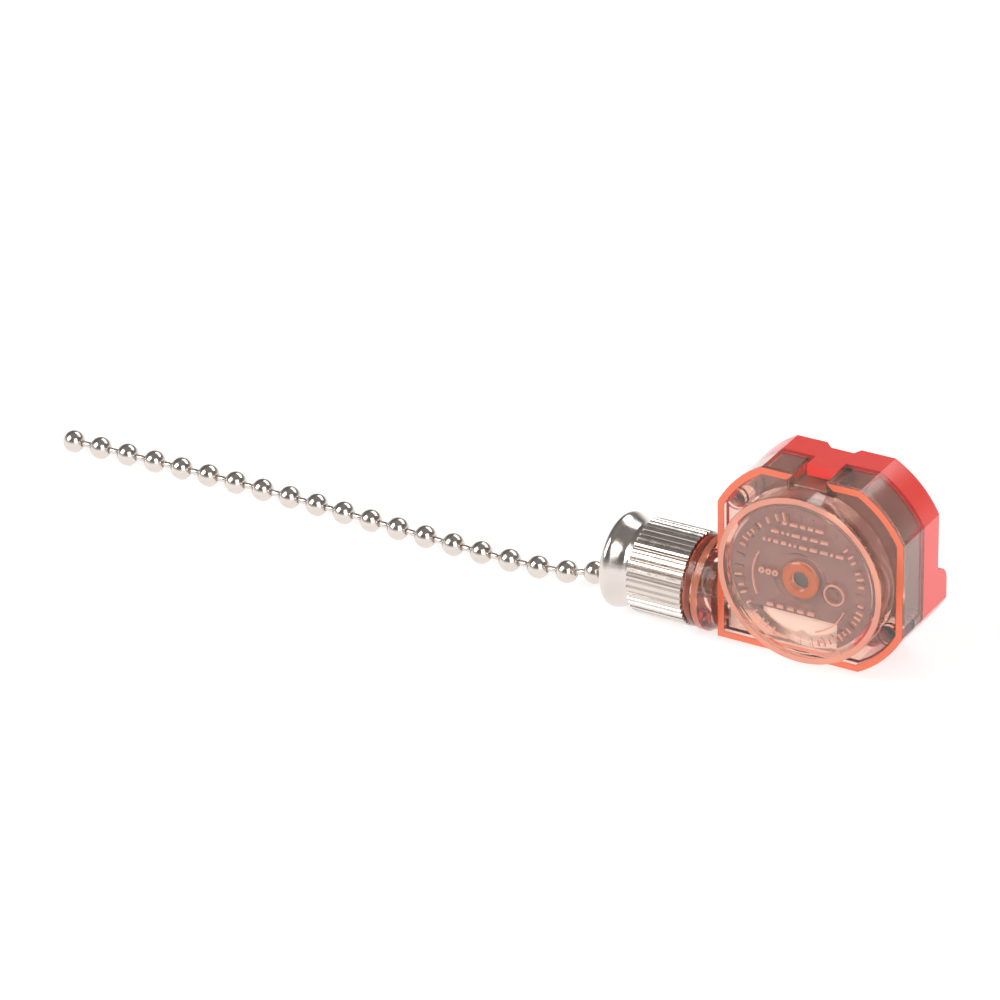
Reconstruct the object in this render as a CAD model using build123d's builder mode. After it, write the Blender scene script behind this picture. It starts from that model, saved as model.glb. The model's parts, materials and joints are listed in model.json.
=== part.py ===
"""Pull cord switch: a rotary selector in a clear casing, worked by a bead chain.

Millimetres, Z up. The nozzle points along -X, the clear face along -Y and the
terminal block along +Y. The origin is under the middle of the body, on the floor.
"""

import math
import os

from build123d import *

# Nozzle axis, and the nut's inner end, which is where x is counted from.
AXIS_Y = -1.175
AXIS_Z = 6.65
NUT_X = -9.45

# Casing outline: a square cut by a circle.
CASE_X = NUT_X + 17.9
CASE_Z = AXIS_Z + 7.75
HALF_WIDTH = 13.6
HALF_HEIGHT = 13.4
CORNER_R = 15.2
WALL = 1.2
PLATE = 0.75

# Depths, front to back.
DRUM_Y = AXIS_Y - 6.85
RIM_Y = AXIS_Y - 3.85
PARTING_Y = AXIS_Y + 2.2
BACK_Y = AXIS_Y + 6.5
BLOCK_Y = AXIS_Y + 9.2
RIM_RECESS = 0.6
FACE_RECESS = 0.3
COVER_WALL = 1.3
SHEET = 0.4

# Drum and everything that turns in it.
DRUM_X = CASE_X
DRUM_Z = AXIS_Z + 7.45
DRUM_R = 12.0
DRUM_LIP = 1.4
HUB_R = 2.5
AXLE_R = 1.2
FREE = 0.05
DISC_R = 8.3
SHIELD_R = 10.5
PLATE_R = 10.4
PLATE_Y = AXIS_Y - 5.62
PLATE_T = 0.25
DISC_Y = AXIS_Y - 5.3
DISC_T = 1.1
BRIDGE_T = 0.3
STEPS = 8

# Gear and rack.
MODULE = 0.75
GEAR_TEETH = 16
PITCH = math.pi * MODULE
PITCH_R = MODULE * GEAR_TEETH / 2
ADDENDUM = 0.6
DEDENDUM = 0.85
HALF_TOOTH = 0.5
FLANK = math.tan(math.radians(20))
GEAR_HALF = 1.8
RACK_Z = DRUM_Z - PITCH_R
STROKE = PITCH_R * 2 * math.pi / STEPS

# Nozzle and nut.
THREAD_R = 4.75
THREAD_ROOT = 4.35
THREAD_PITCH = 1.058
COLLAR_R = 6.5
COLLAR_X = 1.6
NOZZLE_END = -8.2
SPRING_BORE = 2.9
THROAT_R = 2.5
SEAT_X = -6.0
SEAT_T = 0.6
NUT_R = 6.55
NUT_LEN = 8.15
NUT_END = -12.6
BELL_R = 6.64
KNURLS = 44
KNURL_DEPTH = 0.38

# Slider.
SLIDER_HEAD = 10.5
SLIDER_TAIL = 23.4
CLASP_END = -1.4

# Wire holes and the terminals behind them.
WIRE_R = 1.05
WIRE_Z = AXIS_Z + 2.2
WIRE_X = [CASE_X + value for value in (-7.6, -3.0, 3.0, 7.6)]
FINGER_Z = [AXIS_Z + value for value in (7.9, 14.5, 14.5, 7.9)]
TERMINAL_Y = AXIS_Y + 4.3
TERMINAL_T = 0.7
BLOCK_TOP = AXIS_Z + 6.2
RIVETS = [(11.5, -6.9), (-11.0, 7.7)]
RIVET_R = 0.8
RIVET_TIP = AXIS_Y + 0.6
POST_R = 1.5

# Chain: the route of its centre line, from the clasp to the free end.
BEAD_R = 1.6
FLOOR_Z = BEAD_R - AXIS_Z
CHAIN = [
    (CLASP_END, 0, 0),
    (-9.5, 0, 0),
    (-19.5, 0.15, FLOOR_Z),
    (-42.0, 0.6, FLOOR_Z),
    (-73.4, 2.45, FLOOR_Z),
    (-104.6, 1.9, FLOOR_Z),
]

os.makedirs("parts", exist_ok=True)


def save(builder, name):
    """Label a sub-part and write it to its file."""
    builder.part.label = name
    export_step(builder.part, f"parts/{name}.step")
    print(name, round(builder.part.volume, 2), len(builder.part.solids()))


def upright(y):
    """An upright sketch plane at depth y whose extrusions come forward."""
    return Plane(origin=(0, y, 0), x_dir=(1, 0, 0), z_dir=(0, -1, 0))


def across(x):
    """A sketch plane across the nozzle axis whose extrusions go towards +X."""
    return Plane(origin=(NUT_X + x, AXIS_Y, AXIS_Z), x_dir=(0, 1, 0), z_dir=(1, 0, 0))


def outline(inset):
    """The casing's outline, moved in by the inset."""
    with Locations((CASE_X, CASE_Z)):
        Circle(CORNER_R - inset)
        Rectangle(2 * (HALF_WIDTH - inset), 2 * (HALF_HEIGHT - inset), mode=Mode.INTERSECT)
    with Locations((CASE_X - HALF_WIDTH / 2, CASE_Z - HALF_HEIGHT / 2)):
        Rectangle(HALF_WIDTH - 2 * inset, HALF_HEIGHT - 2 * inset)


def block_of_outline(front, back, inset, mode=Mode.ADD):
    """The casing's outline as a block between two depths."""
    with BuildSketch(upright(back)) as shape:
        outline(inset)
    extrude(shape.sketch, amount=back - front, mode=mode)


def post(x, z, radius, front, back, mode=Mode.ADD):
    """A round post along Y between two depths."""
    with BuildSketch(upright(back)) as shape:
        with Locations((x, z)):
            Circle(radius)
    extrude(shape.sketch, amount=back - front, mode=mode)


def tube_x(radius, start, end, mode=Mode.ADD):
    """A round bar on the nozzle axis, in x counted from the nut's inner end."""
    with BuildSketch(across(start)) as shape:
        Circle(radius)
    extrude(shape.sketch, amount=end - start, mode=mode)


def bar(x0, x1, y0, y1, z0, z1, mode=Mode.ADD):
    """A square bar between the given faces."""
    with BuildSketch(Plane.XY.offset(z0)) as shape:
        with Locations(((x0 + x1) / 2, (y0 + y1) / 2)):
            Rectangle(x1 - x0, y1 - y0)
    extrude(shape.sketch, amount=z1 - z0, mode=mode)


def rivet_places():
    """Centres of the two rivets."""
    return [(CASE_X + dx, CASE_Z + dz) for dx, dz in RIVETS]


# ---- Front casing ----
with BuildPart() as front_casing:
    block_of_outline(RIM_Y, PARTING_Y, 0)
    post(DRUM_X, DRUM_Z, DRUM_R, DRUM_Y, RIM_Y)
    block_of_outline(RIM_Y + RIM_RECESS + PLATE, PARTING_Y, WALL, Mode.SUBTRACT)
    # Shallow recess between the rim and the drum.
    with BuildSketch(upright(RIM_Y + RIM_RECESS)):
        outline(1.0)
        with Locations((DRUM_X, DRUM_Z)):
            Circle(DRUM_R, mode=Mode.SUBTRACT)
    extrude(amount=RIM_RECESS, mode=Mode.SUBTRACT)
    # The drum is hollow, and its face is set back inside its lip.
    drum_inside = DRUM_Y + FACE_RECESS + WALL - 0.3
    post(DRUM_X, DRUM_Z, DRUM_R - WALL, drum_inside, RIM_Y + 2, Mode.SUBTRACT)
    post(DRUM_X, DRUM_Z, DRUM_R - DRUM_LIP, DRUM_Y, DRUM_Y + FACE_RECESS, Mode.SUBTRACT)
    # Hub boss, which holds the axle's front end.
    post(DRUM_X, DRUM_Z, HUB_R, DRUM_Y + FACE_RECESS, AXIS_Y - 5.35)
    post(DRUM_X, DRUM_Z, AXLE_R, AXIS_Y - 5.75, AXIS_Y - 5.35, Mode.SUBTRACT)
    # Sunk floor under the snap tongue.
    notch_left = NUT_X + 15.4
    notch_right = NUT_X + 20.2
    notch_floor = AXIS_Z + 19.45
    case_top = CASE_Z + HALF_HEIGHT
    bar(notch_left - 1, notch_right + 1, RIM_Y + 0.2, PARTING_Y, notch_floor - 1, case_top)
    bar(notch_left, notch_right, RIM_Y, PARTING_Y, notch_floor, case_top, Mode.SUBTRACT)
    # Rivet posts.
    for x, z in rivet_places():
        post(x, z, POST_R, RIM_Y, PARTING_Y)
    for x, z in rivet_places():
        post(x, z, RIVET_R, RIVET_TIP, PARTING_Y, Mode.SUBTRACT)
    # Collar, nozzle and the rings that stand for its thread.
    with BuildSketch(upright(AXIS_Y)):
        with BuildLine():
            Polyline(
                (NUT_X + 0.15, AXIS_Z),
                (NUT_X + 0.15, AXIS_Z + COLLAR_R - 0.45),
                (NUT_X + 0.45, AXIS_Z + COLLAR_R - 0.15),
                (NUT_X + COLLAR_X - 0.25, AXIS_Z + COLLAR_R - 0.15),
                (NUT_X + COLLAR_X - 0.1, AXIS_Z + COLLAR_R - 0.4),
                (NUT_X + COLLAR_X, AXIS_Z + COLLAR_R),
                (NUT_X + COLLAR_X + 1.0, AXIS_Z + COLLAR_R),
                (CASE_X - HALF_WIDTH, AXIS_Z + COLLAR_R - 0.8),
                (CASE_X - HALF_WIDTH, AXIS_Z),
                close=True,
            )
        make_face()
    revolve(axis=Axis((NUT_X, AXIS_Y, AXIS_Z), (1, 0, 0)))
    tube_x(THREAD_ROOT, NOZZLE_END, COLLAR_X)
    for turn in range(9):
        ring_start = NOZZLE_END + 0.3 + turn * THREAD_PITCH
        tube_x(THREAD_R, ring_start, ring_start + THREAD_PITCH / 2)
    # Bore for the spring and the throat the chain passes.
    tube_x(SPRING_BORE, SEAT_X, 5.6, Mode.SUBTRACT)
    tube_x(THROAT_R, NOZZLE_END, SEAT_X, Mode.SUBTRACT)
    # Raised scale marks on the face and two plain rings.
    mark_back = DRUM_Y + FACE_RECESS
    with BuildSketch(upright(mark_back)):
        with Locations((DRUM_X, DRUM_Z)):
            with PolarLocations(8.9, 32):
                Rectangle(1.3, 0.35)
            Circle(3.9)
            Circle(3.65, mode=Mode.SUBTRACT)
        with Locations((DRUM_X + 4.6, DRUM_Z - 0.9)):
            Circle(1.6)
            Circle(1.35, mode=Mode.SUBTRACT)
            Circle(1.0)
            Circle(0.75, mode=Mode.SUBTRACT)
    extrude(amount=0.15)
save(front_casing, "front_casing")

# ---- Rear cover ----
with BuildPart() as rear_cover:
    block_of_outline(PARTING_Y, BACK_Y, 0)
    # Terminal block with a rounded top.
    with BuildSketch(upright(BLOCK_Y)):
        outline(0)
        with Locations((CASE_X, CASE_Z - HALF_HEIGHT - 10)):
            Rectangle(60, 2 * (BLOCK_TOP - CASE_Z + HALF_HEIGHT + 10), mode=Mode.INTERSECT)
    extrude(amount=BLOCK_Y - BACK_Y)
    top_edges = rear_cover.edges().filter_by(Axis.X)
    top_edges = top_edges.filter_by(lambda edge: abs(edge.center().Y - BLOCK_Y) < 0.01)
    fillet(top_edges.sort_by(Axis.Z)[-1], 2.6)
    block_of_outline(PARTING_Y, BACK_Y - COVER_WALL, COVER_WALL, Mode.SUBTRACT)
    # Boss that holds the axle's rear end.
    post(DRUM_X, DRUM_Z, 1.9, AXIS_Y + 3.4, BACK_Y - 0.5)
    post(DRUM_X, DRUM_Z, AXLE_R, AXIS_Y + 3.4, AXIS_Y + 5.4, Mode.SUBTRACT)
    # Room for the return spring in the side wall.
    tube_x(SPRING_BORE, 4, 6, Mode.SUBTRACT)
    # Rivet posts.
    for x, z in rivet_places():
        post(x, z, POST_R, PARTING_Y + SHEET, BACK_Y)
    for x, z in rivet_places():
        post(x, z, RIVET_R, PARTING_Y, BACK_Y, Mode.SUBTRACT)
    # Wire holes, each with a lead-in, through the block to the terminals.
    for x in WIRE_X:
        post(x, WIRE_Z, WIRE_R, BACK_Y - COVER_WALL, BLOCK_Y, Mode.SUBTRACT)
        post(x, WIRE_Z, WIRE_R + 0.4, BLOCK_Y - 0.4, BLOCK_Y, Mode.SUBTRACT)
    # Release slots under the wire holes.
    for x in WIRE_X:
        bar(x - 0.9, x + 0.9, BLOCK_Y - 1.5, BLOCK_Y, WIRE_Z - 4.2, WIRE_Z - 3.2, Mode.SUBTRACT)
    # Snap tongue over the front casing's notch.
    bar(NUT_X + 15.6, NUT_X + 20.0, AXIS_Y - 0.3, PARTING_Y, notch_floor + 0.1, case_top)
    # Pry notch in the back edge.
    with BuildSketch(Plane.XY.offset(case_top - 1.2)):
        with BuildLine():
            Polyline(
                (NUT_X + 15.1, BACK_Y),
                (NUT_X + 20.1, BACK_Y),
                (NUT_X + 19.6, BACK_Y - 1.2),
                (NUT_X + 16.3, BACK_Y - 1.2),
                close=True,
            )
        make_face()
    extrude(amount=1.2, mode=Mode.SUBTRACT)
    # Stop post that the slider comes to rest against.
    post(NUT_X + 24.6, AXIS_Z - 1.0, 1.1, AXIS_Y - 1.6, BACK_Y - 0.5)
save(rear_cover, "rear_cover")

# ---- Rivets ----
with BuildPart() as assembly_rivets:
    for x, z in rivet_places():
        post(x, z, RIVET_R, RIVET_TIP, BACK_Y - 0.15)
save(assembly_rivets, "assembly_rivets")

# ---- Insulator plate ----
with BuildPart() as insulator_plate:
    block_of_outline(PARTING_Y, PARTING_Y + SHEET, 1.5)
    for x, z in rivet_places():
        post(x, z, RIVET_R, PARTING_Y, PARTING_Y + SHEET, Mode.SUBTRACT)
    post(DRUM_X, DRUM_Z, 2.2, PARTING_Y, PARTING_Y + SHEET, Mode.SUBTRACT)
    post(NUT_X + 24.6, AXIS_Z - 1.0, 1.3, PARTING_Y, PARTING_Y + SHEET, Mode.SUBTRACT)
    for x, z in zip(WIRE_X, FINGER_Z):
        bar(x - 1.0, x + 1.0, PARTING_Y, PARTING_Y + SHEET, z - 0.7, z + 0.7, Mode.SUBTRACT)
    # Slot beside the return spring.
    spring_slot = NUT_X + SLIDER_HEAD + 0.5
    bar(NUT_X, spring_slot, PARTING_Y, PARTING_Y + SHEET, AXIS_Z - 1.8, AXIS_Z + 1.8, Mode.SUBTRACT)
save(insulator_plate, "insulator_plate")

# ---- Axle ----
with BuildPart() as axle_pin:
    post(DRUM_X, DRUM_Z, AXLE_R, AXIS_Y - 5.7, AXIS_Y + 5.35)
save(axle_pin, "axle_pin")

# ---- Contact disc, with the ratchet crown on its back ----
with BuildPart() as contact_disc:
    post(DRUM_X, DRUM_Z, DISC_R, DISC_Y, DISC_Y + DISC_T)
    post(DRUM_X, DRUM_Z, 4.6, DISC_Y + DISC_T, AXIS_Y - 3.1)
    with BuildSketch(upright(AXIS_Y - 2.5)):
        with Locations((DRUM_X, DRUM_Z)):
            with PolarLocations(3.75, STEPS):
                Rectangle(1.4, 1.2)
    extrude(amount=0.8)
    post(DRUM_X, DRUM_Z, AXLE_R + FREE, DISC_Y, AXIS_Y - 2.5, Mode.SUBTRACT)
    # Detent notches in the rim.
    with BuildSketch(upright(DISC_Y + DISC_T)):
        with Locations((DRUM_X, DRUM_Z)):
            with PolarLocations(DISC_R + 0.3, STEPS, 90):
                Circle(0.8)
    extrude(amount=DISC_T, mode=Mode.SUBTRACT)
save(contact_disc, "contact_disc")

# ---- Contact bridge: a copper sector on the back of the disc ----
with BuildPart() as contact_bridge:
    with BuildSketch(upright(DISC_Y + DISC_T + BRIDGE_T)):
        with Locations((DRUM_X, DRUM_Z)):
            Circle(8.15)
            Circle(6.6, mode=Mode.SUBTRACT)
            with Locations((0, -10)):
                Rectangle(24, 20, mode=Mode.SUBTRACT)
    extrude(amount=BRIDGE_T)
save(contact_bridge, "contact_bridge")


def rim_point(radius, degrees):
    """A point on a circle round the drum's centre."""
    angle = math.radians(degrees)
    return (DRUM_X + radius * math.cos(angle), DRUM_Z + radius * math.sin(angle))


# ---- Detent leaf: an arc of spring strip with a dimple at its middle ----
with BuildPart() as detent_leaf:
    with BuildSketch(upright(DISC_Y + DISC_T)):
        with BuildLine():
            ThreePointArc(rim_point(8.95, 60), rim_point(8.95, 90), rim_point(8.95, 120))
            Line(rim_point(8.95, 120), rim_point(9.25, 120))
            ThreePointArc(rim_point(9.25, 120), rim_point(9.25, 90), rim_point(9.25, 60))
            Line(rim_point(9.25, 60), rim_point(8.95, 60))
        make_face()
        with Locations(rim_point(8.88, 90)):
            Circle(0.5)
        with Locations(rim_point(9.45, 90)):
            Rectangle(1.2, 0.3, mode=Mode.SUBTRACT)
    extrude(amount=DISC_T)
save(detent_leaf, "detent_leaf")

# ---- Arc shield: a dark wall round the top of the works, with a pad for the detent leaf ----
with BuildPart() as arc_shield:
    with BuildSketch(upright(PARTING_Y)):
        with Locations((DRUM_X, DRUM_Z)):
            Circle(SHIELD_R)
            Circle(SHIELD_R - 0.6, mode=Mode.SUBTRACT)
            with Locations((0, -SHIELD_R - 3.5)):
                Rectangle(30, 2 * SHIELD_R, mode=Mode.SUBTRACT)
    extrude(amount=PARTING_Y - AXIS_Y + 4.2)
    for degrees in (62, 118):
        pad_x, pad_z = rim_point(9.7, degrees)
        post(pad_x, pad_z, 0.45, DISC_Y + 0.1, AXIS_Y - 3.6)
save(arc_shield, "arc_shield")

# ---- Bearing plate: a dark plate behind the drum's face, cut away over the slider ----
with BuildPart() as bearing_plate:
    with BuildSketch(upright(PLATE_Y + PLATE_T)):
        with Locations((DRUM_X, DRUM_Z)):
            Circle(PLATE_R)
            Circle(HUB_R + FREE, mode=Mode.SUBTRACT)
        # Left of the step the plate stops higher than right of it.
        plate_step = DRUM_X + 5.2
        with Locations((plate_step - PLATE_R * 2, AXIS_Z + 2.0 - PLATE_R)):
            Rectangle(4 * PLATE_R, 2 * PLATE_R, mode=Mode.SUBTRACT)
        with Locations((plate_step, AXIS_Z - 1.5 - PLATE_R)):
            Rectangle(4 * PLATE_R, 2 * PLATE_R, mode=Mode.SUBTRACT)
    extrude(amount=PLATE_T)
save(bearing_plate, "bearing_plate")

# ---- Slider guide: a white trough under and in front of the slider ----
with BuildPart() as slider_guide:
    guide_start = NUT_X + 5.7
    guide_end = NUT_X + 22.6
    guide_step = NUT_X + SLIDER_HEAD + 0.1
    guide_front = AXIS_Y - 2.4
    guide_inner = AXIS_Y - 1.9
    guide_back = AXIS_Y + 2.15
    guide_floor = AXIS_Z - 4.4
    bar(guide_start, guide_end, guide_front, guide_back, guide_floor, AXIS_Z - 4.05)
    bar(guide_start, guide_step, guide_front, guide_inner, guide_floor, AXIS_Z - 1.7)
    bar(guide_step, guide_end, guide_front, guide_inner, guide_floor, AXIS_Z + 1.4)
save(slider_guide, "slider_guide")


def toothed_disc(root_r, tip_r):
    """A gear's outline with straight flanks and one tooth pointing down."""
    points = []
    for tooth in range(GEAR_TEETH):
        middle = -math.pi / 2 + tooth * 2 * math.pi / GEAR_TEETH
        half_root = HALF_TOOTH + (PITCH_R - root_r) * FLANK
        half_tip = HALF_TOOTH - (tip_r - PITCH_R) * FLANK
        for radius, half in ((root_r, -half_root), (tip_r, -half_tip), (tip_r, half_tip), (root_r, half_root)):
            angle = middle + half / radius
            points.append((DRUM_X + radius * math.cos(angle), DRUM_Z + radius * math.sin(angle)))
    return points


# ---- Drive gear, with its ratchet crown facing the disc ----
with BuildPart() as drive_gear:
    with BuildSketch(upright(AXIS_Y + GEAR_HALF)):
        with BuildLine():
            Polyline(*toothed_disc(PITCH_R - DEDENDUM, PITCH_R + ADDENDUM), close=True)
        make_face()
    extrude(amount=2 * GEAR_HALF)
    with BuildSketch(upright(AXIS_Y - GEAR_HALF)):
        with Locations((DRUM_X, DRUM_Z)):
            with PolarLocations(3.75, STEPS, 22.5):
                Rectangle(1.4, 1.2)
    extrude(amount=0.55)
    post(DRUM_X, DRUM_Z, HUB_R + 0.2, AXIS_Y - 2.6, AXIS_Y - 1.7, Mode.SUBTRACT)
    post(DRUM_X, DRUM_Z, AXLE_R + FREE, AXIS_Y - GEAR_HALF, AXIS_Y + GEAR_HALF, Mode.SUBTRACT)
save(drive_gear, "drive_gear")


def coil(mean_r, turns, length, plane):
    """Points of a coil's centre line, closed up at both ends."""
    count = int(turns * 12)
    path = []
    for step in range(count + 1):
        angle = 2 * math.pi * turns * step / count
        along = length * step / count
        path.append(plane.from_local_coords((mean_r * math.cos(angle), mean_r * math.sin(angle), along)))
    return path


def wind(path, wire_r):
    """Sweep round wire along a coil's points."""
    with BuildLine() as centre:
        line = Spline(*path)
    with BuildSketch(Plane(origin=line @ 0, z_dir=line % 0)) as section:
        Circle(wire_r)
    sweep(section.sketch, path=centre.wire())


# ---- Clutch spring behind the gear ----
with BuildPart() as clutch_spring:
    behind = Plane(origin=(DRUM_X, AXIS_Y + GEAR_HALF + 0.2, DRUM_Z), x_dir=(1, 0, 0), z_dir=(0, 1, 0))
    wind(coil(1.6, 3, 1.2, behind), 0.15)
save(clutch_spring, "clutch_spring")

# ---- Return spring round the slider's stem ----
with BuildPart() as return_spring:
    spring_start = SEAT_X + SEAT_T + 0.25
    spring_length = SLIDER_HEAD - 0.25 - spring_start
    wind(coil(2.2, 9, spring_length, across(spring_start)), 0.18)
save(return_spring, "return_spring")

# ---- Spring seat washer ----
with BuildPart() as spring_seat:
    tube_x(SPRING_BORE - 0.05, SEAT_X, SEAT_X + SEAT_T)
    tube_x(2.05, SEAT_X, SEAT_X + SEAT_T, Mode.SUBTRACT)
save(spring_seat, "spring_seat")

# ---- Pull slider: head, stem and rack ----
with BuildPart() as pull_slider:
    head = NUT_X + SLIDER_HEAD
    tail = NUT_X + SLIDER_TAIL
    slider_front = AXIS_Y - 1.75
    slider_back = AXIS_Y + 1.75
    rack_root = RACK_Z - DEDENDUM
    bar(head, head + 2.3, slider_front, slider_back, AXIS_Z - 3.9, AXIS_Z + 2.8)
    bar(head + 2.0, tail, slider_front, slider_back, AXIS_Z - 3.9, rack_root)
    tube_x(1.2, 2.6, SLIDER_HEAD + 0.5)
    # Rack teeth, placed so that a gear tooth stands in a gap at rest.
    with BuildSketch(upright(slider_back)):
        for number in range(-2, 2):
            middle = DRUM_X + (number + 0.5) * PITCH
            half_root = HALF_TOOTH + DEDENDUM * FLANK
            half_tip = HALF_TOOTH - ADDENDUM * FLANK
            with BuildLine():
                Polyline(
                    (middle - half_root, rack_root),
                    (middle + half_root, rack_root),
                    (middle + half_tip, RACK_Z + ADDENDUM),
                    (middle - half_tip, RACK_Z + ADDENDUM),
                    close=True,
                )
            make_face()
    extrude(amount=slider_back - slider_front)
save(pull_slider, "pull_slider")

# ---- Chain clasp ----
with BuildPart() as chain_clasp:
    tube_x(1.85, CLASP_END, 2.6)
    chamfer(chain_clasp.edges().filter_by(GeomType.CIRCLE), 0.3)
save(chain_clasp, "chain_clasp")

# ---- Knurled bell nut ----
with BuildPart() as knurled_nut:
    # Fluted length.
    with BuildSketch(across(-NUT_LEN)):
        ridge = []
        for flute in range(KNURLS):
            for share, radius in ((0.0, NUT_R - KNURL_DEPTH), (0.22, NUT_R - 0.04), (0.5, NUT_R), (0.78, NUT_R - 0.04)):
                angle = 2 * math.pi * (flute + share) / KNURLS
                ridge.append((radius * math.cos(angle), radius * math.sin(angle)))
        with BuildLine():
            Polyline(*ridge, close=True)
        make_face()
    extrude(amount=NUT_LEN)
    # Groove and rolled bell.
    with BuildSketch(Plane(origin=(NUT_X, AXIS_Y, AXIS_Z), x_dir=(1, 0, 0), z_dir=(0, -1, 0))):
        with BuildLine():
            Line((-NUT_LEN, 0), (-NUT_LEN, 5.75))
            Line((-NUT_LEN, 5.75), (-NUT_LEN - 0.7, 5.75))
            Spline(
                (-NUT_LEN - 0.7, 5.75),
                (-10.1, 5.95),
                (-10.9, 6.4),
                (-11.7, BELL_R),
                (-12.35, 6.3),
                (NUT_END, 5.6),
            )
            Line((NUT_END, 5.6), (NUT_END, 0))
            Line((NUT_END, 0), (-NUT_LEN, 0))
        make_face()
    revolve(axis=Axis((NUT_X, AXIS_Y, AXIS_Z), (1, 0, 0)))
    tube_x(THREAD_R + 0.05, -8.6, 0, Mode.SUBTRACT)
    tube_x(THROAT_R, -9.6, -8.6, Mode.SUBTRACT)
    # Bell mouth.
    with BuildSketch(Plane(origin=(NUT_X, AXIS_Y, AXIS_Z), x_dir=(1, 0, 0), z_dir=(0, -1, 0))):
        with BuildLine():
            Polyline((-9.3, 0), (-9.3, THROAT_R), (-10.6, 4.2), (NUT_END, 4.8), (NUT_END, 0), close=True)
        make_face()
    revolve(axis=Axis((NUT_X, AXIS_Y, AXIS_Z), (1, 0, 0)), mode=Mode.SUBTRACT)
save(knurled_nut, "knurled_nut")

# ---- Terminals and their wire clips ----
NAMES = ["line", "speed_1", "speed_2", "speed_3"]
for name, x, finger_z in zip(NAMES, WIRE_X, FINGER_Z):
    with BuildPart() as terminal:
        bar(x - 1.0, x + 1.0, TERMINAL_Y, TERMINAL_Y + TERMINAL_T, WIRE_Z, finger_z + 0.3)
        bar(x - 1.5, x + 1.5, TERMINAL_Y, TERMINAL_Y + TERMINAL_T, WIRE_Z - 1.8, WIRE_Z + 1.8)
        post(x, WIRE_Z, WIRE_R + 0.15, TERMINAL_Y, TERMINAL_Y + TERMINAL_T, Mode.SUBTRACT)
        bar(x - 0.7, x + 0.7, AXIS_Y - 3.4, TERMINAL_Y, finger_z - 0.3, finger_z + 0.3)
        bar(x - 0.5, x + 0.5, AXIS_Y - 3.75, AXIS_Y - 3.4, finger_z - 0.3, finger_z + 0.3)
    save(terminal, f"terminal_{name}")
    with BuildPart() as wire_clip:
        bar(x - 0.8, x + 0.8, TERMINAL_Y - 0.25, TERMINAL_Y, WIRE_Z + 1.4, WIRE_Z + 3.4)
        bar(x - 0.8, x + 0.8, AXIS_Y + 2.9, TERMINAL_Y, WIRE_Z + 1.3, WIRE_Z + 1.55)
    save(wire_clip, f"wire_clip_{name}")

# ---- Bead chain, as a plain tube on its centre line ----
route = [(NUT_X + x, AXIS_Y + y, AXIS_Z + z) for x, y, z in CHAIN]


def bend_radii(points):
    """The radius of each bend, from the shorter of its two runs."""
    radii = []
    for before, corner, after in zip(points, points[1:], points[2:]):
        run_in = Vector(*corner) - Vector(*before)
        run_out = Vector(*after) - Vector(*corner)
        turn = math.radians(run_in.get_angle(run_out))
        radii.append(0.45 * min(run_in.length, run_out.length) / math.tan(turn / 2))
    return radii


radii = bend_radii(route)
print("bend radii", [round(value, 1) for value in radii])
with BuildPart() as bead_chain:
    with BuildLine() as chain_line:
        FilletPolyline(*route, radius=radii)
    with BuildSketch(Plane(origin=route[0], z_dir=(-1, 0, 0))):
        Circle(BEAD_R)
    sweep()
print("chain length", round(chain_line.wire().length, 2), "volume ratio", round(
    bead_chain.part.volume / (math.pi * BEAD_R**2 * chain_line.wire().length), 4))
save(bead_chain, "bead_chain")
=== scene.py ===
"""Looks of the pull cord switch: clear amber casing, red cover, nickel nut and bead chain.

Sizes and places are in millimetres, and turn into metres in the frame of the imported
model where a mesh is made. The floor, lamps and camera are in metres. The nozzle
points along -X and the clear face along -Y.
"""

import json
import math
import random

import bmesh
import bpy
from mathutils import Matrix, Vector


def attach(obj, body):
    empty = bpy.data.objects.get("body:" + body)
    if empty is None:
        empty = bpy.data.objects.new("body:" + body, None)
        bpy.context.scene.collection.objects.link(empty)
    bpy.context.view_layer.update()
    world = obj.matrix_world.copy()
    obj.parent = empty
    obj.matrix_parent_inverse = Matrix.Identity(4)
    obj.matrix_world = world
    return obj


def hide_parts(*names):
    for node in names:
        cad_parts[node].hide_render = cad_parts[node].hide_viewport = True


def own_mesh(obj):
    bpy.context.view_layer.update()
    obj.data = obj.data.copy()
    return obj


MM = 0.001

# The nut's inner end, the nozzle's axis, the drum's centre and its face.
NUT_X = -9.45
AXIS_Y = -1.175
AXIS_Z = 6.65
DRUM_X = 8.45
DRUM_Z = 14.1
FACE_Y = -7.725

# Casing outline, its rim and the drum's lip.
CASE_Z = AXIS_Z + 7.75
HALF_WIDTH = 13.6
HALF_HEIGHT = 13.4
CORNER_R = 15.2
RIM_Y = AXIS_Y - 3.85
RIM_WIDTH = 1.0
NOTCH_LEFT = NUT_X + 15.4
NOTCH_RIGHT = NUT_X + 20.2
LIP_Y = AXIS_Y - 6.85
LIP_OUT = 11.95
LIP_IN = 11.15
OUTLINE_STEPS = 12
LIP_STEPS = 120

# The thin bands of painted glow, highlight and shade: their back and front off the face below, and their
# gap to its edges.
BAND_GAP = 0.01
BAND_PROUD = 0.05
EDGE_GAP = 0.04

# Collar behind the nut and the neck between them, counted from the nut's inner end: where the painted glow
# ring and the painted shade band sit.
COLLAR_X = 1.6
COLLAR_WIDTH = 0.95
COLLAR_R = 6.5
COLLAR_STEPS = 96
NECK_X = 0.5
NECK_GAP = 0.3
NECK_DROP = 0.15

# Return spring, counted from the nut's inner end, and how far the slider squeezes it.
SPRING_START = -5.15
SPRING_LENGTH = 15.4
SPRING_R = 2.2
SPRING_WIRE_R = 0.18
SPRING_TURNS = 9
SPRING_STEPS = 24
WIRE_CORNERS = 10

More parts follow.
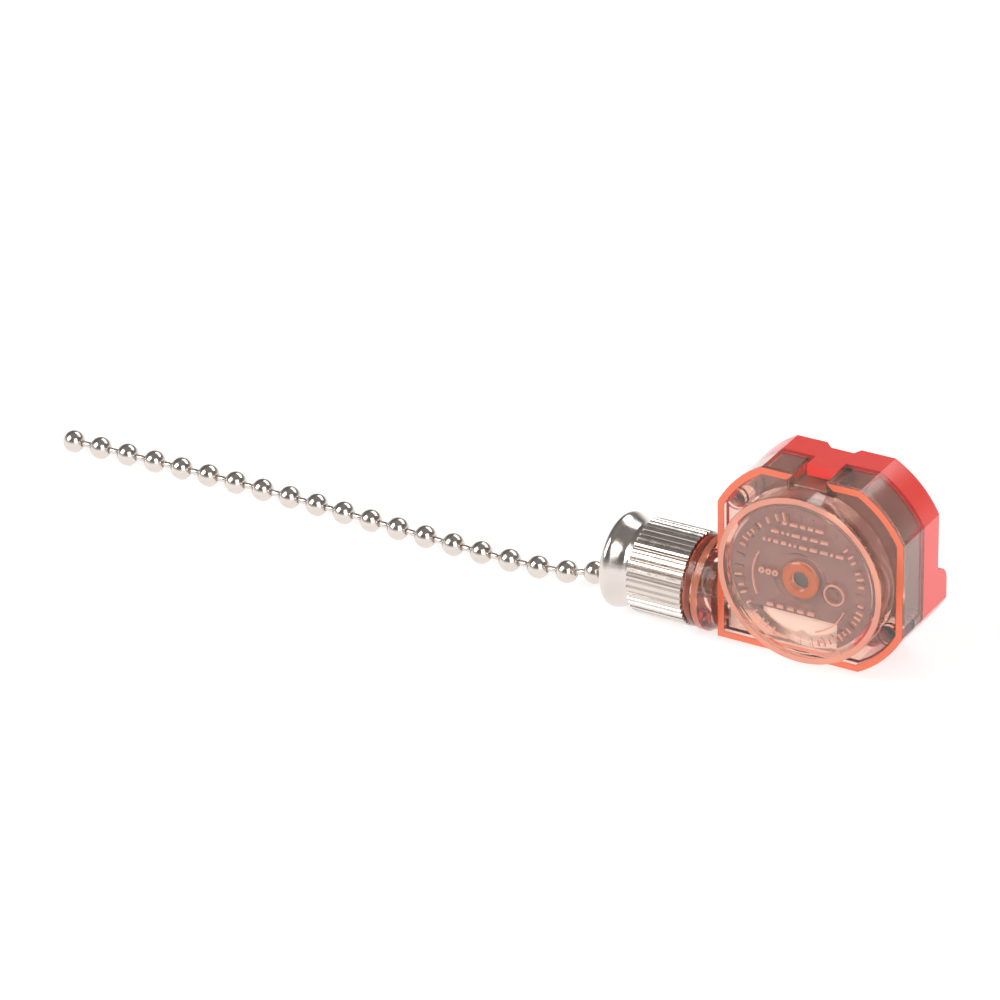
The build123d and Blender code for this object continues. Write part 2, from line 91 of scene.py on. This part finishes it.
# Marks on the drum's face: their height, how deep their feet stand in it, and their places.
MARK_H = 0.2
MARK_SUNK = 0.02
RING_STEPS = 72
DASH_GAP = 0.42
DASH_ROWS = ((2.6, 7.9), (4.2, 6.4), (5.4, 4.9))
TICK_R = 8.6
TICK_GROUPS = ((105, 168), (188, 248), (-72, -8), (8, 52))
SCALE_R = 6.9
SCALE_MIDDLE = (0, -0.6)
SCALE_ARCS = ((150, 205), (-70, -20))
MARK_SEED = 11

# Clear amber: the colour that deep material lets through, and how fast it takes hold.
AMBER_DEPTH = (1.0, 0.5, 0.35, 1)
AMBER_DENSITY = 110.0

# Bead chain.
BEAD_R = 1.6
BEAD_PITCH = 4.56
BEAD_STEPS = 24
BEAD_SEGMENTS = 40
BEAD_SEED = 7
LINK_R = 0.42
LINK_SEGMENTS = 20
# How far a link reaches into a bead, and its narrower tip.
LINK_IN = 0.35
LINK_TIP = 0.2
LINK_TIP_R = LINK_R * 0.6
# A bead's wire hole, and how its edge turns in.
HOLE_R = LINK_R + 0.08
HOLE_LIP = 0.18
HOLE_TURN = 0.02
CHAIN = [
    (-1.4, 0, 0),
    (-9.5, 0, 0),
    (-19.5, 0.15, -5.05),
    (-42.0, 0.6, -5.05),
    (-73.4, 2.45, -5.05),
    (-104.6, 1.9, -5.05),
]

# Grain of the slow tone change and of the fine scuffs, and how deep the scuffs are.
TONE_SCALE = 250.0
SCUFF_SCALE = 900.0
SCUFF_DEPTH = 0.05
PLASTIC_IOR = 1.5

# Floor, in metres, and the light that it gives off by itself, so that it reads as plain white.
FLOOR_HALF = 3.0
FLOOR_Z = -0.0001
FLOOR_GREY = (0.55, 0.55, 0.55, 1)
FLOOR_GLOW = 0.66

# Softboxes, in metres: name, place, width and height, and power in watts.
LAMP_TARGET = (-0.03, 0, 0.01)
SOFTBOXES = (
    ("softbox_left", (-0.6, -0.55, 0.6), (0.5, 0.64), 5.8),
    ("softbox_right", (0.65, -0.55, 0.5), (0.6, 0.9), 4.2),
    ("softbox_back", (0.1, 0.7, 0.75), (1.0, 0.45), 3.8),
)

# Studio walls from the floor, 0, to overhead, 1: height and brightness of the stops between.
WALL_LOW = (0.9, 0.87, 0.85, 1)
WALL_TOP = (0.26, 0.25, 0.245, 1)
WALL_STOPS = ((0.1, 0.7), (0.26, 0.24), (0.45, 0.16), (0.7, 0.17))

# Camera: place and near clip in metres, its three axes, and lens and sensor in millimetres.
CAMERA_PLACE = (0.282695, -0.542997, 0.342004)
CAMERA_RIGHT = (0.86377752, 0.5034911, -0.01962387)
CAMERA_UP = (-0.2191088, 0.4103988, 0.8851916)
CAMERA_BACK = (0.45373971, -0.76030884, 0.46481259)
LENS = 189.1
SENSOR = 36
CLIP_START = 0.01


def frame_point(x, y, z):
    """A point in metres, from millimetres counted from the nut's inner end on the nozzle axis."""
    return Vector(((NUT_X + x) * MM, (AXIS_Y + y) * MM, (AXIS_Z + z) * MM))


def drum_point(across, up, y):
    """A point in metres, from millimetres across and up from the drum's centre, and its own Y."""
    return Vector(((DRUM_X + across) * MM, y * MM, (DRUM_Z + up) * MM))


def arc_points(radius, start, end, middle, steps):
    """Points on an arc about a middle, angles in degrees."""
    points = []
    for step in range(steps + 1):
        angle = math.radians(start + (end - start) * step / steps)
        points.append((middle[0] + radius * math.cos(angle), middle[1] + radius * math.sin(angle)))
    return points


# ---- Meshes from rings of points ----


def join_rings(mesh, rings, closed=False):
    """Join each ring to the next with faces, and either close the run or cap its two ends."""
    following = rings[1:] + rings[:1] if closed else rings[1:]
    for first, second in zip(rings, following):
        for index in range(len(first)):
            other = (index + 1) % len(first)
            mesh.faces.new((first[index], second[index], second[other], first[other]))
    if not closed:
        mesh.faces.new(rings[0])
        mesh.faces.new(rings[-1][::-1])


def turned_ring(mesh, section, steps, corner):
    """Turn a closed section, given as pairs, about an axis; corner(pair, angle) places each point."""
    rings = []
    for step in range(steps):
        angle = 2 * math.pi * step / steps
        rings.append([mesh.verts.new(corner(pair, angle)) for pair in section])
    join_rings(mesh, rings, closed=True)


def piece_from(mesh, name, material):
    """Turn a mesh into an object with one material."""
    bmesh.ops.recalc_face_normals(mesh, faces=mesh.faces)
    data = bpy.data.meshes.new(name)
    mesh.to_mesh(data)
    mesh.free()
    piece = bpy.data.objects.new(name, data)
    bpy.context.scene.collection.objects.link(piece)
    piece.data.materials.append(material)
    return piece


# ---- Node groups shared by the materials ----


def new_group(name, inputs, outputs):
    """An empty shader group with the given inputs, as names and starting numbers, and outputs."""
    group = bpy.data.node_groups.new(name, "ShaderNodeTree")
    for label, value in inputs:
        socket = group.interface.new_socket(label, in_out="INPUT", socket_type="NodeSocketFloat")
        socket.default_value = value
    for label, kind in outputs:
        group.interface.new_socket(label, in_out="OUTPUT", socket_type=kind)
    return group


def scuff_group():
    """Fine uneven gloss and shallow scratches, as handling leaves."""
    group = new_group(
        "handling_scuffs",
        [("Scale", SCUFF_SCALE), ("Low", 0.1), ("High", 0.25)],
        [("Roughness", "NodeSocketFloat"), ("Height", "NodeSocketFloat")],
    )
    nodes, links = group.nodes, group.links
    given = nodes.new("NodeGroupInput")
    result = nodes.new("NodeGroupOutput")
    place = nodes.new("ShaderNodeTexCoord")
    noise = nodes.new("ShaderNodeTexNoise")
    noise.inputs["Detail"].default_value = 6
    links.new(place.outputs["Object"], noise.inputs["Vector"])
    links.new(given.outputs["Scale"], noise.inputs["Scale"])
    spread = nodes.new("ShaderNodeMapRange")
    links.new(noise.outputs["Fac"], spread.inputs["Value"])
    spread.inputs["From Min"].default_value = 0.3
    spread.inputs["From Max"].default_value = 0.7
    links.new(given.outputs["Low"], spread.inputs["To Min"])
    links.new(given.outputs["High"], spread.inputs["To Max"])
    links.new(spread.outputs["Result"], result.inputs["Roughness"])
    stretch = nodes.new("ShaderNodeMapping")
    stretch.inputs["Scale"].default_value = (0.15, 1, 1)
    links.new(place.outputs["Object"], stretch.inputs["Vector"])
    scratch = nodes.new("ShaderNodeTexNoise")
    scratch.inputs["Detail"].default_value = 3
    links.new(stretch.outputs["Vector"], scratch.inputs["Vector"])
    finer = nodes.new("ShaderNodeMath")
    finer.operation = "MULTIPLY"
    finer.inputs[1].default_value = 4
    links.new(given.outputs["Scale"], finer.inputs[0])
    links.new(finer.outputs[0], scratch.inputs["Scale"])
    links.new(scratch.outputs["Fac"], result.inputs["Height"])
    return group


def tone_group():
    """Slow change between two tones, as in moulded or plated stock."""
    group = new_group("stock_tone", [("Scale", TONE_SCALE)], [("Color", "NodeSocketColor")])
    for label in ("Light", "Dark"):
        group.interface.new_socket(label, in_out="INPUT", socket_type="NodeSocketColor")
    nodes, links = group.nodes, group.links
    given = nodes.new("NodeGroupInput")
    result = nodes.new("NodeGroupOutput")
    place = nodes.new("ShaderNodeTexCoord")
    noise = nodes.new("ShaderNodeTexNoise")
    noise.inputs["Detail"].default_value = 4
    links.new(place.outputs["Object"], noise.inputs["Vector"])
    links.new(given.outputs["Scale"], noise.inputs["Scale"])
    mix = nodes.new("ShaderNodeMix")
    mix.data_type = "RGBA"
    links.new(noise.outputs["Fac"], mix.inputs["Factor"])
    # A colour mix takes its two colours at 6 and 7, and gives its result at 2.
    links.new(given.outputs["Light"], mix.inputs[6])
    links.new(given.outputs["Dark"], mix.inputs[7])
    links.new(mix.outputs[2], result.inputs["Color"])
    return group


SCUFFS = scuff_group()
TONE = tone_group()


def finish_material(name, light, dark, low, high, bump, **sockets):
    """A Principled material between two tones and two roughnesses, with its own plain sockets."""
    material = bpy.data.materials.new(name)
    material.use_nodes = True
    nodes, links = material.node_tree.nodes, material.node_tree.links
    shader = nodes["Principled BSDF"]
    tone = nodes.new("ShaderNodeGroup")
    tone.node_tree = TONE
    tone.inputs["Scale"].default_value = TONE_SCALE
    tone.inputs["Light"].default_value = (*light, 1)
    tone.inputs["Dark"].default_value = (*dark, 1)
    links.new(tone.outputs["Color"], shader.inputs["Base Color"])
    scuffs = nodes.new("ShaderNodeGroup")
    scuffs.node_tree = SCUFFS
    scuffs.inputs["Scale"].default_value = SCUFF_SCALE
    scuffs.inputs["Low"].default_value = low
    scuffs.inputs["High"].default_value = high
    links.new(scuffs.outputs["Roughness"], shader.inputs["Roughness"])
    relief = nodes.new("ShaderNodeBump")
    relief.inputs["Strength"].default_value = bump
    relief.inputs["Distance"].default_value = SCUFF_DEPTH * MM
    links.new(scuffs.outputs["Height"], relief.inputs["Height"])
    links.new(relief.outputs["Normal"], shader.inputs["Normal"])
    for label, value in sockets.items():
        shader.inputs[label.replace("_", " ")].default_value = value
    return material


def clear_amber():
    """Transparent amber polycarbonate: deeper where it is thicker, and it lets lamps through."""
    material = finish_material(
        "clear_amber",
        (1.0, 0.92, 0.865),
        (1.0, 0.89, 0.83),
        0.04,
        0.1,
        0.1,
        Transmission_Weight=0.96,
        IOR=PLASTIC_IOR,
    )
    nodes, links = material.node_tree.nodes, material.node_tree.links
    shader = nodes["Principled BSDF"]
    output = nodes["Material Output"]
    depth = nodes.new("ShaderNodeVolumeAbsorption")
    depth.inputs["Color"].default_value = AMBER_DEPTH
    depth.inputs["Density"].default_value = AMBER_DENSITY
    links.new(depth.outputs["Volume"], output.inputs["Volume"])
    through = nodes.new("ShaderNodeBsdfTransparent")
    through.inputs["Color"].default_value = (1.0, 0.86, 0.8, 1)
    path = nodes.new("ShaderNodeLightPath")
    choose = nodes.new("ShaderNodeMixShader")
    links.new(path.outputs["Is Shadow Ray"], choose.inputs["Fac"])
    links.new(shader.outputs["BSDF"], choose.inputs[1])
    links.new(through.outputs["BSDF"], choose.inputs[2])
    links.new(choose.outputs["Shader"], output.inputs["Surface"])
    return material


def glossy_red():
    """Moulded red plastic with a soft sheen."""
    return finish_material(
        "glossy_red",
        (0.92, 0.085, 0.07),
        (0.85, 0.065, 0.055),
        0.14,
        0.26,
        0.12,
        Coat_Weight=0.25,
        Coat_Roughness=0.2,
        Subsurface_Weight=0.08,
        Subsurface_Scale=0.002,
    )


# Ambers for the face marks and the hub ring, and ambers that paint light: painted glow where light gathers
# in thick edges, a painted highlight on the drum's lip and painted shade in the neck. Each has two tones,
# two roughnesses, bump, and how much light it passes.
GLOWING_AMBERS = {
    "frosted_amber": ((1.0, 0.6, 0.48), (0.98, 0.52, 0.4), 0.3, 0.45, 0.2, 0.5),
    # Painted glow: a saturated orange standing in for light gathered in the thick rim.
    "rim_painted_glow": ((1.0, 0.27, 0.14), (0.98, 0.22, 0.11), 0.12, 0.25, 0.15, 0.3),
    # Painted glow: orange light gathered in the thick collar.
    "collar_painted_glow": ((1.0, 0.46, 0.29), (0.98, 0.38, 0.23), 0.1, 0.22, 0.15, 0.7),
    # Painted shade: the dark of the recess between the nut and the collar.
    "neck_painted_shade": ((0.52, 0.15, 0.09), (0.44, 0.115, 0.07), 0.1, 0.22, 0.15, 0.7),
    # Painted highlight: the pale light caught on the drum's lip.
    "lip_painted_highlight": ((1.0, 0.52, 0.38), (1.0, 0.46, 0.33), 0.12, 0.25, 0.15, 0.5),
    "deep_amber": ((0.85, 0.3, 0.16), (0.75, 0.23, 0.12), 0.15, 0.28, 0.15, 0.5),
}

# Metals by slot: material name, two tones, two roughnesses and bump.
METALS = {
    "rivet_metal": ("rivet_steel", (0.95, 0.9, 0.87), (0.9, 0.84, 0.81), 0.45, 0.6, 0.3),
    "steel": ("ground_steel", (0.6, 0.6, 0.6), (0.5, 0.5, 0.5), 0.2, 0.35, 0.2),
    "blued_steel": ("blued_steel", (0.12, 0.095, 0.095), (0.08, 0.065, 0.07), 0.35, 0.5, 0.2),
    "copper": ("rolled_copper", (0.85, 0.42, 0.26), (0.7, 0.32, 0.2), 0.2, 0.35, 0.2),
    "spring_steel": ("drawn_steel", (0.55, 0.55, 0.57), (0.42, 0.42, 0.44), 0.2, 0.3, 0.2),
    "brass": ("rolled_brass", (0.85, 0.66, 0.33), (0.7, 0.52, 0.25), 0.2, 0.35, 0.2),
    "nickel": ("polished_nickel", (0.75, 0.685, 0.635), (0.67, 0.61, 0.57), 0.12, 0.22, 0.12),
}

# Dull dark plastics by slot: material name, two tones, two roughnesses and bump.
DULL_PLASTICS = {
    "insulator": ("fibre_sheet", (0.2, 0.105, 0.1), (0.15, 0.075, 0.07), 0.6, 0.8, 0.5),
    "disc_plastic": ("phenolic", (0.22, 0.13, 0.125), (0.17, 0.095, 0.095), 0.4, 0.55, 0.3),
}


def build_materials():
    """One material for each slot of the record, and the ambers of the marks, the hub ring and the bands of
    painted light.
    """
    made = {"clear_amber": clear_amber(), "red_plastic": glossy_red()}
    made["nylon"] = finish_material(
        "natural_nylon", (0.93, 0.9, 0.86), (0.86, 0.82, 0.77), 0.35, 0.5, 0.2, Subsurface_Weight=0.1
    )
    for name, (*finish, passed) in GLOWING_AMBERS.items():
        made[name] = finish_material(name, *finish, Transmission_Weight=passed, IOR=PLASTIC_IOR)
    for slot, finish in METALS.items():
        made[slot] = finish_material(*finish, Metallic=1.0)
    for slot, finish in DULL_PLASTICS.items():
        made[slot] = finish_material(*finish)
    return made


# ---- Bead chain ----


def chain_line():
    """The chain's centre line as a smooth curve through its route."""
    curve = bpy.data.curves.new("chain_line", "CURVE")
    curve.dimensions = "3D"
    curve.resolution_u = 48
    spline = curve.splines.new("NURBS")
    spline.points.add(len(CHAIN) - 1)
    for point, place in zip(spline.points, CHAIN):
        point.co = (*frame_point(*place), 1)
    spline.order_u = 3
    spline.use_endpoint_u = True
    line = bpy.data.objects.new("chain_line", curve)
    bpy.context.scene.collection.objects.link(line)
    bpy.context.view_layer.update()
    mesh = bpy.data.meshes.new_from_object(line)
    points = [vertex.co.copy() for vertex in mesh.vertices]
    bpy.data.objects.remove(line)
    return points


def along(points, distance):
    """The place and direction at a distance from the first of the points."""
    for start, end in zip(points, points[1:]):
        step = (end - start).length
        if distance <= step:
            return start.lerp(end, distance / step), (end - start).normalized()
        distance -= step
    return points[-1].copy(), (points[-1] - points[-2]).normalized()


def bead_profile():
    """Half outline of a bead from one wire hole to the other: (along, radius) in millimetres."""
    start = math.asin(HOLE_R / BEAD_R)
    lip = math.cos(start) * BEAD_R - HOLE_LIP
    rows = [(-lip, HOLE_R - HOLE_TURN)]
    for step in range(BEAD_STEPS + 1):
        angle = start + (math.pi - 2 * start) * step / BEAD_STEPS
        rows.append((-math.cos(angle) * BEAD_R, math.sin(angle) * BEAD_R))
    rows.append((lip, HOLE_R - HOLE_TURN))
    return rows


def lathe(mesh, rows, place, turn, segments):
    """Turn a half outline about the local X axis and add it to the mesh."""
    rings = []
    for offset, radius in rows:
        ring = []
        for index in range(segments):
            angle = 2 * math.pi * index / segments
            local = Vector((offset, radius * math.cos(angle), radius * math.sin(angle))) * MM
            ring.append(mesh.verts.new(place + turn @ local))
        rings.append(ring)
    join_rings(mesh, rings)


def facing(direction, roll):
    """Rotation that turns local X to the direction, with a roll about it."""
    return direction.to_track_quat("X", "Z").to_matrix() @ Matrix.Rotation(roll, 3, "X")


def link_profile(reach):
    """Half outline of a link with a narrower tip at each end: (along, radius) in millimetres."""
    tip = reach + LINK_TIP
    return [(-tip, LINK_TIP_R), (-reach, LINK_R), (reach, LINK_R), (tip, LINK_TIP_R)]


def build_chain():
    """Beads joined by thin wire links, laid along the chain's line from its far end."""
    points = chain_line()
    length = sum((b - a).length for a, b in zip(points, points[1:]))
    backwards = points[::-1]
    mesh = bmesh.new()
    dice = random.Random(BEAD_SEED)
    count = int((length / MM - BEAD_R) / BEAD_PITCH) + 1
    places = [along(backwards, (BEAD_R + number * BEAD_PITCH) * MM) for number in range(count)]
    for place, direction in places:
        lathe(mesh, bead_profile(), place, facing(direction, dice.uniform(0, 6.28)), BEAD_SEGMENTS)
    for (near, _), (far, _) in zip(places, places[1:]):
        reach = (far - near).length / MM / 2 - BEAD_R + LINK_IN
        turn = facing((far - near).normalized(), 0)
        lathe(mesh, link_profile(reach), (near + far) / 2, turn, LINK_SEGMENTS)
    chain = piece_from(mesh, "bead_chain_looks", MATERIALS["nickel"])
    for face in chain.data.polygons:
        face.use_smooth = True
    return chain, points, length


# ---- Return spring ----


def build_return_spring():
    """The open coil of round wire round the slider's stem."""
    mesh = bmesh.new()
    steps = SPRING_TURNS * SPRING_STEPS
    rings = []
    for step in range(steps + 1):
        angle = 2 * math.pi * SPRING_TURNS * step / steps
        outward = Vector((0, math.cos(angle), math.sin(angle)))
        advance = SPRING_LENGTH * step / steps
        centre = frame_point(SPRING_START + advance, *(SPRING_R * outward.yz))
        ring = []
        for corner in range(WIRE_CORNERS):
            turn = 2 * math.pi * corner / WIRE_CORNERS
            side = Vector((math.sin(turn), 0, 0)) + outward * math.cos(turn)
            ring.append(mesh.verts.new(centre + side * SPRING_WIRE_R * MM))
        rings.append(ring)
    join_rings(mesh, rings)
    return piece_from(mesh, "return_spring_coil", MATERIALS["spring_steel"])


# ---- Raised marks on the drum's face ----


def face_point(across, up, rise):
    """A point risen from the drum's face, from millimetres across and up from its centre."""
    return drum_point(across, up, FACE_Y - rise)


def raised_stroke(mesh, points, width, height):
    """A raised stroke with sloping sides along points on the face."""
    rings = []
    for index, (across, up) in enumerate(points):
        before = points[max(index - 1, 0)]
        after = points[min(index + 1, len(points) - 1)]
        run = Vector((after[0] - before[0], after[1] - before[1])).normalized()
        side = Vector((-run.y, run.x)) * width / 2
        ring = []
        for reach, rise in ((1.0, -MARK_SUNK), (0.6, height), (-0.6, height), (-1.0, -MARK_SUNK)):
            place = face_point(across + side.x * reach, up + side.y * reach, rise)
            ring.append(mesh.verts.new(place))
        rings.append(ring)
    join_rings(mesh, rings)


def raised_ring(mesh, radius, width, height, middle=(0, 0)):
    """A closed raised ring with sloping sides."""
    section = [
        (radius + reach * width, rise)
        for reach, rise in ((0.5, -MARK_SUNK), (0.3, height), (-0.3, height), (-0.5, -MARK_SUNK))
    ]

    def corner(pair, angle):
        r, rise = pair
        return face_point(middle[0] + r * math.cos(angle), middle[1] + r * math.sin(angle), rise)

    turned_ring(mesh, section, RING_STEPS, corner)


def dash_rows(mesh, dice):
    """Rows of short plain dashes above the hub."""
    for half_width, up in DASH_ROWS:
        across = -half_width
        while across < half_width:
            long = dice.choice((0.35, 0.7, 1.1))
            raised_stroke(mesh, [(across, up), (across + long, up)], 0.5, MARK_H)
            across += long + DASH_GAP


def tick_groups(mesh, dice):
    """Ticks round the rim, in groups with gaps between them."""
    for start, end in TICK_GROUPS:
        degrees = start
        while degrees < end:
            angle = math.radians(degrees)
            inner, outer = TICK_R, TICK_R + dice.uniform(0.7, 1.15)
            points = [(r * math.cos(angle), r * math.sin(angle)) for r in (inner, outer)]
            raised_stroke(mesh, points, 0.32, MARK_H)
            degrees += dice.choice((5.5, 7.0, 9.5))


def build_marks():
    """Generic raised marks: rows of dashes, a ring of ticks, moulding rings and scale arcs."""
    dice = random.Random(MARK_SEED)
    mesh = bmesh.new()
    dash_rows(mesh, dice)
    tick_groups(mesh, dice)
    # Small rings left of the hub and a row of dashes under it.
    for across in (-5.6, -4.6, -3.6):
        raised_ring(mesh, 0.3, 0.34, MARK_H, (across, 0.2))
    for across in (-4.8, -3.3, -1.8, -0.3, 1.2):
        raised_stroke(mesh, [(across, -4.6), (across + 0.95, -4.6)], 0.55, MARK_H)
    # The witness ring that an ejector pin leaves.
    raised_ring(mesh, 1.4, 0.3, MARK_H, (5.0, -0.9))
    # Two long arcs, as a scale has, with a point about every six degrees.
    for start, end in SCALE_ARCS:
        raised_stroke(mesh, arc_points(SCALE_R, start, end, SCALE_MIDDLE, (end - start) // 6), 0.24, MARK_H)
    return piece_from(mesh, "face_marks", MATERIALS["frosted_amber"])


def build_hub_ring():
    """The thick deep-coloured ring round the axle's end."""
    mesh = bmesh.new()
    raised_ring(mesh, 1.95, 1.5, MARK_H)
    return piece_from(mesh, "hub_ring", MATERIALS["deep_amber"])


# ---- Bands of painted light: painted glow on the edges, where the moulding is thick and catches the light, a painted highlight on the lip, and painted shade in the neck ----


def outline_points(inset):
    """The casing's outline from the right of the top notch round to its left, moved in by the inset."""
    half_w, half_h, radius = HALF_WIDTH - inset, HALF_HEIGHT - inset, CORNER_R - inset
    low = math.degrees(math.acos(half_w / radius))
    high = math.degrees(math.asin(half_h / radius))
    middle = (DRUM_X, CASE_Z)
    points = [(NOTCH_RIGHT + inset, CASE_Z + half_h)]
    points += arc_points(radius, high, low, middle, OUTLINE_STEPS)
    points += arc_points(radius, -low, -high, middle, OUTLINE_STEPS)
    points.append((DRUM_X - half_w, CASE_Z - half_h))
    points += arc_points(radius, 180 - low, 180 - high, middle, OUTLINE_STEPS)
    points.append((NOTCH_LEFT - inset, CASE_Z + half_h))
    return points


def build_rim_band():
    """A thin band of painted glow on the front face of the casing's rim, broken at the snap notch: its
    saturated orange stands in for light gathered in the thick rim.
    """
    mesh = bmesh.new()
    rings = []
    for outer, inner in zip(outline_points(EDGE_GAP), outline_points(RIM_WIDTH - EDGE_GAP)):
        section = ((outer, BAND_PROUD), (inner, BAND_PROUD), (inner, BAND_GAP), (outer, BAND_GAP))
        rings.append([mesh.verts.new(Vector((x, RIM_Y - proud, z)) * MM) for (x, z), proud in section])
    join_rings(mesh, rings)
    return piece_from(mesh, "rim_painted_glow_band", MATERIALS["rim_painted_glow"])


def build_lip_band():
    """A thin band on the front of the drum's lip, whose pale colour is a painted highlight."""
    mesh = bmesh.new()
    section = ((LIP_OUT, BAND_PROUD), (LIP_IN, BAND_PROUD), (LIP_IN, BAND_GAP), (LIP_OUT, BAND_GAP))

    def corner(pair, angle):
        radius, proud = pair
        return drum_point(radius * math.cos(angle), radius * math.sin(angle), LIP_Y - proud)

    turned_ring(mesh, section, LIP_STEPS, corner)
    return piece_from(mesh, "lip_painted_highlight_band", MATERIALS["lip_painted_highlight"])


def build_collar_band(name, start, end, radius, finish):
    """A thin band round the collar between two places along the nozzle; its material paints light there,
    glow on the collar ring and shade in the neck.
    """
    mesh = bmesh.new()
    section = ((start, radius + BAND_PROUD), (end, radius + BAND_PROUD), (end, radius), (start, radius))

    def corner(pair, angle):
        x, r = pair
        return frame_point(x, r * math.cos(angle), r * math.sin(angle))

    turned_ring(mesh, section, COLLAR_STEPS, corner)
    return piece_from(mesh, name, MATERIALS[finish])


# ---- Stage ----


def soft_lamp(name, place, size, power):
    """A studio softbox aimed at the part."""
    light = bpy.data.lights.new(name, "AREA")
    light.shape = "RECTANGLE"
    light.size, light.size_y = size
    light.energy = power
    lamp = bpy.data.objects.new(name, light)
    lamp.location = place
    lamp.rotation_euler = (Vector(place) - Vector(LAMP_TARGET)).to_track_quat("Z", "Y").to_euler()
    bpy.context.scene.collection.objects.link(lamp)


def build_surroundings(tree):
    """Studio walls: pale at the floor and dark above, so that metal has something to show."""
    nodes, links = tree.nodes, tree.links
    place = nodes.new("ShaderNodeTexCoord")
    parts = nodes.new("ShaderNodeSeparateXYZ")
    ramp = nodes.new("ShaderNodeValToRGB")
    links.new(place.outputs["Generated"], parts.inputs["Vector"])
    links.new(parts.outputs["Z"], ramp.inputs["Fac"])
    stops = ramp.color_ramp.elements
    stops[0].position, stops[0].color = 0.0, WALL_LOW
    stops[1].position, stops[1].color = 1.0, WALL_TOP
    for position, grey in WALL_STOPS:
        stop = stops.new(position)
        stop.color = (grey, grey * 0.97, grey * 0.96, 1)
    links.new(ramp.outputs["Color"], nodes["Background"].inputs["Color"])
    nodes["Background"].inputs["Strength"].default_value = 1.0


def build_floor():
    """A large pale sheet of paper just under the part."""
    near, far = -FLOOR_HALF, FLOOR_HALF
    corners = [(near, near, 0), (far, near, 0), (far, far, 0), (near, far, 0)]
    data = bpy.data.meshes.new("studio_floor")
    data.from_pydata(corners, [], [(0, 1, 2, 3)])
    floor = bpy.data.objects.new("studio_floor", data)
    floor.location.z = FLOOR_Z
    paper = bpy.data.materials.new("white_paper")
    paper.use_nodes = True
    shader = paper.node_tree.nodes["Principled BSDF"]
    shader.inputs["Base Color"].default_value = FLOOR_GREY
    shader.inputs["Roughness"].default_value = 0.9
    shader.inputs["Specular IOR Level"].default_value = 0.1
    shader.inputs["Emission Color"].default_value = (1, 1, 1, 1)
    shader.inputs["Emission Strength"].default_value = FLOOR_GLOW
    data.materials.append(paper)
    bpy.context.scene.collection.objects.link(floor)
    return floor


def build_stage():
    """Pale floor, softboxes and studio walls."""
    build_floor()
    for name, place, size, power in SOFTBOXES:
        soft_lamp(name, place, size, power)
    world = bpy.data.worlds.new("studio")
    world.use_nodes = True
    build_surroundings(world.node_tree)
    bpy.context.scene.world = world
    bpy.context.scene.view_settings.view_transform = "Standard"


def build_camera():
    """The camera, from its place and its three axes."""
    data = bpy.data.cameras.new("camera")
    data.lens = LENS
    data.sensor_width = SENSOR
    data.clip_start = CLIP_START
    camera = bpy.data.objects.new("camera", data)
    turn = Matrix((CAMERA_RIGHT, CAMERA_UP, CAMERA_BACK)).transposed()
    camera.matrix_world = Matrix.Translation(CAMERA_PLACE) @ turn.to_4x4()
    bpy.context.scene.collection.objects.link(camera)
    bpy.context.scene.camera = camera


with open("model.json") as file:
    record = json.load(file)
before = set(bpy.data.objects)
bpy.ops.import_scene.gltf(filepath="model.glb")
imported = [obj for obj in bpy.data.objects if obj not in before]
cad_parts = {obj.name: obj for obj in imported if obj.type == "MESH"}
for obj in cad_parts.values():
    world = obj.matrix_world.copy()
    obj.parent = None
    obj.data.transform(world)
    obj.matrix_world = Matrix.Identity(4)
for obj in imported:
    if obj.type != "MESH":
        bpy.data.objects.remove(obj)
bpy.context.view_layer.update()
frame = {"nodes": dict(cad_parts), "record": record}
MATERIALS = build_materials()

slots = {entry["node"]: entry["material_slot"] for entry in frame["record"]["subparts"]}
for node, obj in frame["nodes"].items():
    obj.data.materials.clear()
    obj.data.materials.append(MATERIALS[slots[node]])

chain, chain_points, chain_length = build_chain()
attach(chain, "pull")
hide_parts("bead_chain")

# The marks and the hub ring are mouldings; the rim, lip and collar bands are painted light.
mouldings = [
    build_marks(),
    build_hub_ring(),
    build_rim_band(),
    build_lip_band(),
    # Painted glow round the collar.
    build_collar_band("collar_painted_glow_ring", COLLAR_X, COLLAR_X + COLLAR_WIDTH, COLLAR_R, "collar_painted_glow"),
    # Painted shade in the neck between the nut and the collar.
    build_collar_band("neck_painted_shade_band", NECK_X, COLLAR_X - NECK_GAP, COLLAR_R - NECK_DROP, "neck_painted_shade"),
]
for moulding in mouldings:
    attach(moulding, "casing")

spring = build_return_spring()
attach(spring, "casing")
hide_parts("return_spring")
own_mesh(spring)

build_stage()
build_camera()
